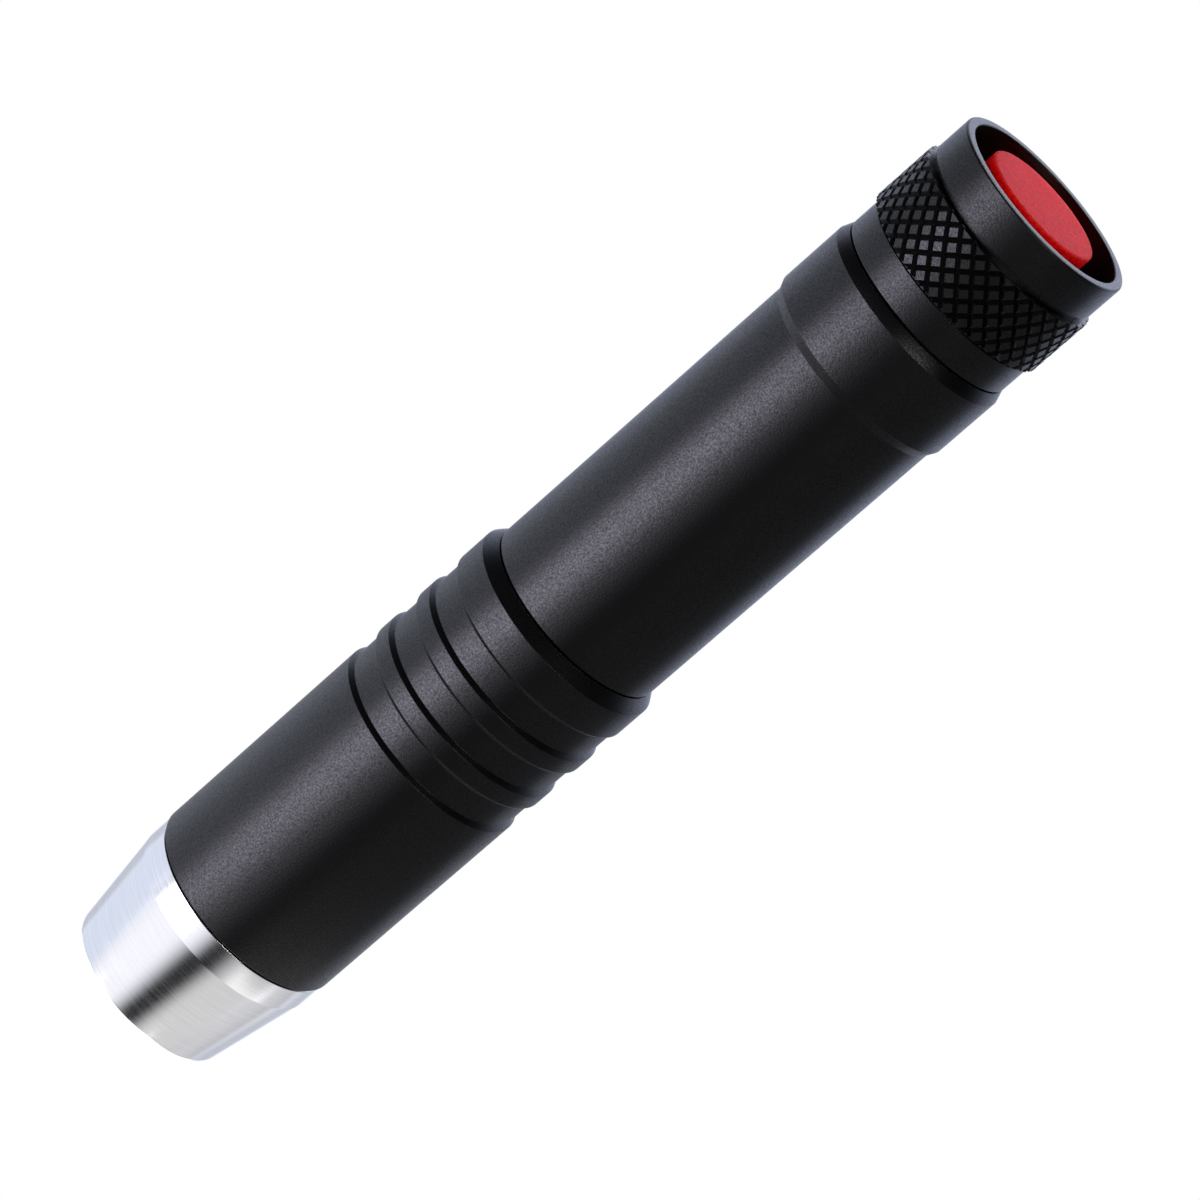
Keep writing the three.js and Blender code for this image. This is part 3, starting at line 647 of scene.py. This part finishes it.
def diamond_knurl(bm, root, crest, low, high, lip):
    """Flat-topped diamonds in rows, cut off square at both ends, where they drop to a lip at the root."""
    around = 35
    rows = 6  # from the first row to the one that the high end cuts in half
    first_row = 0.68  # above the low end, which cuts only the corners of this row
    first_angle = math.radians(-103.7)  # of a diamond in the first row, as in the photograph
    top_share = 0.62  # width of a diamond's top, as a share of the pitch
    half_height = (high - low - first_row) / rows
    step = math.tau / around
    part = bmesh.new()
    for row in range(-1, rows + 1):
        middle = first_angle + row % 2 * step / 2
        height = low + first_row + row * half_height
        corners = [(-step / 2, 0), (0, -half_height), (step / 2, 0), (0, half_height)]
        verts = []
        for turn_by, rise in corners:
            angle = middle + turn_by
            verts.append(part.verts.new((root * math.cos(angle), root * math.sin(angle), height + rise)))
        bmesh.ops.spin(
            part, geom=[*verts, part.faces.new(verts)], axis=(0, 0, 1), cent=(0, 0, 0),
            angle=math.tau, steps=around, use_duplicate=True,
        )
    bmesh.ops.remove_doubles(part, verts=part.verts, dist=WELD)
    bmesh.ops.recalc_face_normals(part, faces=part.faces)
    pitch = half_height * math.sqrt(2)
    bmesh.ops.inset_individual(
        part, faces=part.faces[:], use_even_offset=True,
        thickness=pitch * (1 - top_share) / 2, depth=crest - root,
    )
    trim(part, low, high)
    for height, outward in ((low, -1), (high, 1)):
        cut = [
            edge for edge in part.edges
            if edge.is_boundary and all(abs(vert.co.z - height) < 2 * WELD for vert in edge.verts)
        ]
        made = bmesh.ops.extrude_edge_only(part, edges=cut)["geom"]
        for vert in made:
            if isinstance(vert, bmesh.types.BMVert):
                vert.co.xy *= root / vert.co.xy.length
                vert.co.z = height + outward * lip
    take_in(bm, part)


def cap():
    """Black tail cap: plain skirt, diamond knurl, smooth collar with a rounded rim, and a recess."""
    skirt_length = 3.5
    knurl_length = 6.92
    knurl_step = 0.08  # of the knurl's root above the skirt
    front_relief = 0.25  # widths of the grooves beside the knurl
    tail_relief = 0.78
    front_depth = 0.25  # depths of these grooves
    tail_depth = 0.55
    margin = 0.06  # plain ring between the knurl and a groove
    collar_step = 0.05
    collar_wall = 1.1
    rim_rounding = 0.25
    rim_inner_rounding = 0.15
    recess_depth = 6.2
    web_thickness = 1.5
    opening = 7.2
    cavity_wall = 1.35
    knurl_front = CAP_SHOULDER + skirt_length
    knurl_low = knurl_front + front_relief
    knurl_high = knurl_low + knurl_length
    knurl_root = GRIP_RADIUS + knurl_step
    front_floor = GRIP_RADIUS - front_depth
    tail_floor = GRIP_RADIUS - tail_depth
    collar_low = knurl_high + tail_relief
    collar = GRIP_RADIUS + collar_step
    recess = collar - collar_wall
    recess_floor = RIM - recess_depth
    web = recess_floor - web_thickness
    cavity = CAP_CREST - THREAD_DEPTH - cavity_wall
    skirt = [
        *reversed(CAP_LANDS),
        (GRIP_RADIUS, CAP_SHOULDER, EDGE),
        (GRIP_RADIUS, knurl_front, FINE_EDGE),
        (front_floor, knurl_front),
        (front_floor, knurl_low - margin),
        (knurl_root, knurl_low - margin),
    ]
    top = [
        (knurl_root, knurl_high + margin),
        (tail_floor, knurl_high + margin),
        (tail_floor, collar_low),
        (collar, collar_low, FINE_EDGE),
        (collar, RIM, rim_rounding),
        (recess, RIM, rim_inner_rounding),
        (recess, recess_floor, EDGE),
        (opening, recess_floor, EDGE),
        (opening, web, EDGE),
        (cavity, web),
        (cavity, CAP_LOW, FINE_EDGE),
        *reversed(CAP_TIP),
    ]
    bm = bmesh.new()
    diamond_knurl(bm, knurl_root, KNURL_RADIUS, knurl_low, knurl_high, margin / 2)
    turn(bm, skirt)
    turn(bm, top)
    screw_wall(bm, CAP_CREST - THREAD_DEPTH, CAP_CREST, *CAP_THREAD, CAP_THREAD[0])
    stitch_thread(bm, *CAP_THREAD)
    stitch(bm, knurl_low - 2 * margin, knurl_low + margin)
    stitch(bm, knurl_high - margin, knurl_high + 2 * margin)
    return finished("knurled_cap", bm, BLACK_ANODISED, "tail_cap", "black_anodised", "tail_cap")


nose()
head()
grip()
cap()


# Boot


def boot():
    """One-piece silicone boot: a crown over the button, and a flange that is clamped in the cap."""
    flange_low, _, flange_radius = span("boot_flange")
    top, radius = span("tail_button")[1:]
    flange_thickness = 1.4
    flange_edge = 0.2
    roof_thickness = 1.5
    crown = 0.05
    edge = 0.3
    wall = 0.8
    wall_steps = 12
    wall_foot = 0.3  # room above the flange for its rounding
    stub_radius = 2.6
    stub_edge = 0.2
    stub_overlap = 0.3  # of the stub with the roof above it
    flange_top = flange_low + flange_thickness
    roof = top - roof_thickness
    drop = flange_top + wall_foot - roof
    neck = [(radius, roof + drop * step / wall_steps) for step in range(wall_steps)]
    inner = [(radius - wall, height) for _, height in reversed(neck[1:])]
    outline = [
        (0, top),
        (radius, top - crown, edge),
        *neck,
        (radius, flange_top, flange_edge),
        (flange_radius, flange_top, flange_edge),
        (flange_radius, flange_low, flange_edge),
        (radius - wall, flange_low, flange_edge),
        *inner,
        (radius - wall, roof, edge),
        (0, roof),
    ]
    stub_low = span("switch_plunger")[1] + SEAT_GAP
    stub_high = roof + stub_overlap
    stub = [(0, stub_low), (stub_radius, stub_low, stub_edge), (stub_radius, stub_high), (0, stub_high)]
    turned("boot_stub", stub, RED_SILICONE, "button", "red_silicone")
    bm = bmesh.new()
    turn(bm, outline, SMALL_SIDES)
    piece = finished("red_boot", bm, RED_SILICONE, None, "red_silicone", "tail_button", "boot_flange")
    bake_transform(piece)
    return piece


boot()


# Seals, lens, reflector and inner pieces


def sealing_ring(name, node, section, body):
    """A round rubber ring that fills its node's place."""
    low, high, radius = span(node)
    half = section / 2
    steps = 20
    angles = [math.tau * step / steps for step in range(steps)]
    corners = [
        (radius - half + half * math.cos(angle), (low + high) / 2 + half * math.sin(angle))
        for angle in angles
    ]
    return turned(name, corners, BLACK_RUBBER, body, "black_rubber", node)


def lens():
    """Flat window with a ground edge."""
    low, high, radius = span("front_lens")
    chamfer = 0.2
    outline = [
        (0, low),
        (radius - chamfer, low),
        (radius, low + chamfer),
        (radius, high - chamfer),
        (radius - chamfer, high),
        (0, high),
    ]
    return turned("window_glass", outline, CLEAR_GLASS, "nose", "clear_glass", "front_lens")


def reflector():
    """Metallised cup with a parabolic inside."""
    low, high, rim_radius = span("reflector")
    rim_width = 0.7
    throat = 2.7
    wall = 1.2
    boss_wall = 2.2
    steps = 32
    mouth = rim_radius - rim_width
    boss = throat + boss_wall
    heights = [low + (high - low) * step / steps for step in range(steps + 1)]
    inside = []
    outside = []
    for step, height in enumerate(heights):
        radius = math.sqrt(mouth**2 + (throat**2 - mouth**2) * step / steps)
        inside.append((radius, height))
        outside.append((max(boss, min(rim_radius, radius + wall)), height))
    outline = [*outside, *reversed(inside)]
    return turned("metallised_cup", outline, MIRROR_COAT, "reflector", "mirror_coat", "reflector")


def dome():
    """Clear half ball over the LED, which faces the nose."""
    low, high, radius = span("led_dome")
    steps = 16
    angles = [math.pi / 2 * step / steps for step in range(steps + 1)]
    arc = [(radius * math.sin(angle), high - (high - low) * math.cos(angle)) for angle in angles]
    outline = [*arc, (0, high)]
    return turned("silicone_dome", outline, CLEAR_SILICONE, "head", "clear_silicone", "led_dome")


def spring(name, node, body, thickness, low_radius, high_radius, turns, closing):
    """A coil spring. Closing is the share of its even pitch that is left at both ends."""
    low, high, _ = span(node)
    low += thickness / 2
    high -= thickness / 2
    steps_a_turn = 40
    steps = steps_a_turn * turns
    path = []
    for step in range(steps + 1):
        share = step / steps
        eased = closing * share + (1 - closing) * share**2 * (3 - 2 * share)
        radius = low_radius + (high_radius - low_radius) * share
        angle = math.tau * turns * share
        height = low + (high - low) * eased
        path.append(Vector((radius * math.cos(angle), radius * math.sin(angle), height)))
    bm = bmesh.new()
    wire(bm, path, thickness / 2)
    return finished(name, bm, NICKEL, body, "nickel_steel", node)


def lead(name, node, side, material, slot):
    """A wire from the driver board up to the LED board, with its end turned in."""
    offset = 6.3
    bend = 0.7
    lift = 0.85
    radius = 0.45
    straight_steps = 8
    bend_points = 16
    board_low, board_high, _ = span("led_board")
    start = Vector((side * offset, 0, span("driver_board")[0] - SEAT_GAP))
    knee = Vector((side * offset, 0, (board_low + board_high) / 2))
    corner = Vector((side * offset, 0, board_low - lift))
    end = Vector((side * (offset - bend), 0, board_low - lift))
    straight = [start.lerp(knee, step / straight_steps) for step in range(straight_steps)]
    curve = interpolate_bezier(knee, corner, corner, end, bend_points)
    bm = bmesh.new()
    wire(bm, [*straight, *curve], radius)
    return finished(name, bm, material, "head", slot, node)


def round_piece(name, node, material, body, slot, edge, hole=0):
    """A disc in its node's place with broken edges, or a ring where it is given the radius of a hole."""
    low, high, radius = span(node)
    wall = [(radius, low, edge), (radius, high, edge)]
    if hole:
        outline = [(hole, low, edge), *wall, (hole, high, edge)]
    else:
        outline = [(0, low), *wall, (0, high)]
    return turned(name, outline, material, body, slot, node)


LED_HOLE = 2.7
SLEEVE_WALL = 1.2
WASHER_WIDTH = 3
CELL_CAP_RADIUS = span("battery_positive_cap")[2]
SWITCH_RADIUS = span("switch_board")[2]

dome()
spring(
    "driver_coil", "driver_spring", "head",
    thickness=0.7, low_radius=3, high_radius=3, turns=3, closing=0.75,
)
spring(
    "tail_coil", "tail_spring", "tail_spring",
    thickness=0.8, low_radius=3.4, high_radius=5, turns=4, closing=0.65,
)
lead("red_lead", "lead_positive", 1, RED_SLEEVE, "red_sleeve")
lead("black_lead", "lead_negative", -1, BLACK_PLASTIC, "black_plastic")
round_piece(
    "led_collar", "led_centring_ring", WHITE_PLASTIC, "head", "white_plastic", edge=0.1, hole=LED_HOLE
)
round_piece("driver_disc", "driver_board", GREEN_BOARD, "head", "green_board", edge=0.05)
round_piece("cell_can", "battery_can", CELL_SLEEVE, "battery", "cell_sleeve", edge=0.8)
round_piece("cell_cap", "battery_positive_cap", NICKEL, "battery", "nickel_steel", edge=0.3)
round_piece(
    "cell_washer", "battery_washer", WHITE_PLASTIC, "battery", "white_plastic",
    edge=0.05, hole=CELL_CAP_RADIUS + SLIDE_GAP,
)
round_piece("switch_disc", "switch_board", GREEN_BOARD, "tail_cap", "green_board", edge=0.05)
round_piece(
    "switch_sleeve", "switch_spacer", WHITE_PLASTIC, "tail_cap", "white_plastic",
    edge=0.1, hole=SWITCH_RADIUS - SLEEVE_WALL,
)
round_piece(
    "clamp_washer", "boot_washer", WHITE_PLASTIC, "tail_cap", "white_plastic",
    edge=0.1, hole=SWITCH_RADIUS - WASHER_WIDTH,
)
round_piece("switch_stem", "switch_plunger", WHITE_PLASTIC, "button", "white_plastic", edge=0.3)
sealing_ring("nose_seal", "nose_oring", NOSE_RING, "nose")
sealing_ring("window_seal", "lens_seal", WINDOW_RING, "nose")
sealing_ring("tube_seal", "head_oring", TUBE_RING, "barrel")
sealing_ring("cap_seal", "tail_oring", CAP_RING, "tail_cap")
lens()
reflector()


# Camera, as in the photograph

ELEVATION = math.radians(20.6)
SLANT = math.radians(41.11)  # of the part's axis in the picture
DISTANCE = 526.3
AIM = Vector((0.543, 0, 67.15))
LENS = 156
SENSOR = 36


def camera():
    """The view fitted to the photograph, in which the part lies slanted across the picture."""
    look = Vector((0, math.cos(ELEVATION), -math.sin(ELEVATION)))
    up = Vector((0, math.sin(ELEVATION), math.cos(ELEVATION)))
    right = look.cross(up)
    across = math.cos(SLANT) * up + math.sin(SLANT) * right
    upward = math.sin(SLANT) * up - math.cos(SLANT) * right
    data = bpy.data.cameras.new("camera")
    data.lens = LENS
    data.sensor_width = SENSOR
    data.clip_start = 10 * MM
    turn_matrix = Matrix((across, upward, -look)).transposed().to_4x4()
    view = bpy.data.objects.new("camera", data)
    view.matrix_world = Matrix.Translation((AIM - DISTANCE * look) * MM) @ turn_matrix
    bpy.context.scene.collection.objects.link(view)
    bpy.context.scene.camera = view


camera()


# Light tent: upright panels round the part, cards close to its nose, a panel overhead, a card below it,
# and a white floor that only the camera sees

PANEL_DISTANCE = 0.6
POWER_PER_AREA = 4  # watts a square metre that give a panel a radiance of one
MIDDLE = (cad_box[0].z + cad_box[1].z) / 2
# Cards this close show in the nose and hardly in the shells behind it
NEAR_NOSE = {"distance": 0.05, "level": 0.012}


def panel(
    name, azimuths, elevations, radiance, colour, fades, slant=0, distance=PANEL_DISTANCE, level=MIDDLE
):
    """A panel between two azimuths, in degrees to the right of the camera, and two elevations.

    It stands at a distance from the axis, and its elevations are seen from a level on the axis. Fades are
    the shares of its width and height over which it dims towards its edges. Slant turns it in its own
    plane, and a negative one takes its top to the right.
    """
    middle = math.radians(sum(azimuths) / 2)
    low, high = (level + distance * math.tan(math.radians(angle)) for angle in elevations)
    outward = Vector((math.sin(middle), -math.cos(middle), 0))
    light = bpy.data.lights.new(name, "AREA")
    light.shape = "RECTANGLE"
    light.size = 2 * distance * math.tan(math.radians(azimuths[1] - azimuths[0]) / 2)
    light.size_y = high - low
    light.energy = POWER_PER_AREA * radiance * light.size * light.size_y
    light.color = linear(colour)[:3]
    light.use_nodes = True
    tree = light.node_tree
    place = add(tree, "ShaderNodeNewGeometry").outputs["Parametric"]
    opposite = add(tree, "ShaderNodeVectorMath", {0: (1, 1, 1), 1: place}, operation="SUBTRACT")
    nearest = add(
        tree, "ShaderNodeVectorMath", {0: place, 1: opposite.outputs["Vector"]}, operation="MINIMUM"
    )
    reach = add(tree, "ShaderNodeSeparateXYZ", {"Vector": nearest.outputs["Vector"]})
    across, along = (
        add(
            tree, "ShaderNodeMapRange", {"Value": reach.outputs[axis], "From Max": fade},
            interpolation_type="SMOOTHSTEP",
        )
        for axis, fade in zip("XY", fades)
    )
    strength = add(
        tree, "ShaderNodeMath",
        {0: across.outputs["Result"], 1: along.outputs["Result"]}, operation="MULTIPLY",
    )
    tree.links.new(strength.outputs["Value"], tree.nodes["Emission"].inputs["Strength"])
    lamp = bpy.data.objects.new(name, light)
    lamp.location = distance * outward + Vector((0, 0, (low + high) / 2))
    lamp.rotation_mode = "QUATERNION"
    upright = (-outward).to_track_quat("-Z", "Y")
    lamp.rotation_quaternion = upright @ Quaternion((0, 0, 1), math.radians(slant))
    lamp.visible_camera = False
    bpy.context.scene.collection.objects.link(lamp)


def level_panel(name, radiance, size, place):
    """A panel above the part, or one below it that shines up."""
    light = bpy.data.lights.new(name, "AREA")
    light.size = size
    light.energy = POWER_PER_AREA * radiance * size**2
    lamp = bpy.data.objects.new(name, light)
    lamp.location = place
    if place[2] < 0:
        lamp.rotation_euler = (math.pi, 0, 0)
    lamp.visible_camera = False
    bpy.context.scene.collection.objects.link(lamp)


panel("key_panel", (-68, -15), (-39, 2), 4.2, "#ebe8ff", (0.4, 0.35))
panel("left_front_panel", (-81, 10), (-60, 6), 0.88, "#f6f7ff", (0.36, 0.21), slant=-30)
panel("left_panel", (-142, -65), (-60, -2), 0.78, "#e2e9fb", (0.25, 0.1))
panel("left_low_panel", (-205, -125), (-60, -20), 0.55, "#e6ecfa", (0.25, 0.08))
panel("left_high_panel", (-201, -121), (-24, 40), 0.8, "#d4dcf6", (0.25, 0.08))
panel("right_front_card", (12, 86), (-70, -18), 0.42, "#fffdfd", (0.28, 0.02), slant=-12, **NEAR_NOSE)
panel("right_card", (75, 128), (-70, -15), 0.44, "#f6f6fb", (0.28, 0.02), **NEAR_NOSE)
panel("land_card", (37, 92), (-29, -15), 0.32, "#fffdfd", (0.28, 0.15), **NEAR_NOSE)
panel("right_fill_panel", (20, 124), (-60, 4), 0.13, "#f8f8ff", (0.3, 0.1))
panel("right_low_panel", (120, 200), (-60, -16), 0.54, "#e6ecfa", (0.25, 0.08))
panel("right_high_panel", (118, 202), (-24, 40), 0.9, "#d4dcf6", (0.25, 0.08))
panel("upper_right_panel", (8, 46), (13, 23), 4, "#ffffff", (0.2, 0.2))
level_panel("overhead_panel", radiance=3.2, size=0.5, place=(0, 0.22, 0.6))
level_panel("low_card", radiance=0.9, size=0.06, place=(0, 0, -0.03))


def floor():
    """A white floor that the light from below passes, and that is clear when it is seen from below."""
    half_width = 20
    drop = 0.2 * MM
    material = bpy.data.materials.new("white_floor")
    material.use_nodes = True
    tree = material.node_tree
    tree.nodes.clear()
    glow = add(tree, "ShaderNodeEmission", {"Color": linear("#ffffff"), "Strength": 1})
    clear = add(tree, "ShaderNodeBsdfTransparent")
    underside = add(tree, "ShaderNodeNewGeometry").outputs["Backfacing"]
    both = add(tree, "ShaderNodeMixShader", {0: underside, 1: glow.outputs[0], 2: clear.outputs[0]})
    add(tree, "ShaderNodeOutputMaterial", {"Surface": both.outputs[0]})
    bm = bmesh.new()
    bmesh.ops.create_grid(bm, x_segments=1, y_segments=1, size=half_width)
    bmesh.ops.translate(bm, verts=bm.verts, vec=(0, 0, cad_box[0].z - drop))
    mesh = bpy.data.meshes.new("floor")
    bm.to_mesh(mesh)
    bm.free()
    mesh.materials.append(material)
    ground = bpy.data.objects.new("floor", mesh)
    ground.visible_diffuse = False
    ground.visible_glossy = False
    ground.visible_transmission = False
    ground.visible_shadow = False
    bpy.context.scene.collection.objects.link(ground)


floor()


def world():
    """White behind everything, and a faint fill on the part."""
    fill_strength = 0.015
    surroundings = bpy.data.worlds.new("surroundings")
    bpy.context.scene.world = surroundings
    surroundings.use_nodes = True
    tree = surroundings.node_tree
    tree.nodes.clear()
    seen = add(tree, "ShaderNodeLightPath").outputs["Is Camera Ray"]
    white = add(tree, "ShaderNodeBackground", {"Color": linear("#ffffff"), "Strength": 1})
    fill = add(tree, "ShaderNodeBackground", {"Color": linear("#dfe4f2"), "Strength": fill_strength})
    both = add(tree, "ShaderNodeMixShader", {0: seen, 1: fill.outputs[0], 2: white.outputs[0]})
    add(tree, "ShaderNodeOutputWorld", {"Surface": both.outputs[0]})


world()
bpy.context.scene.view_settings.view_transform = "Standard"
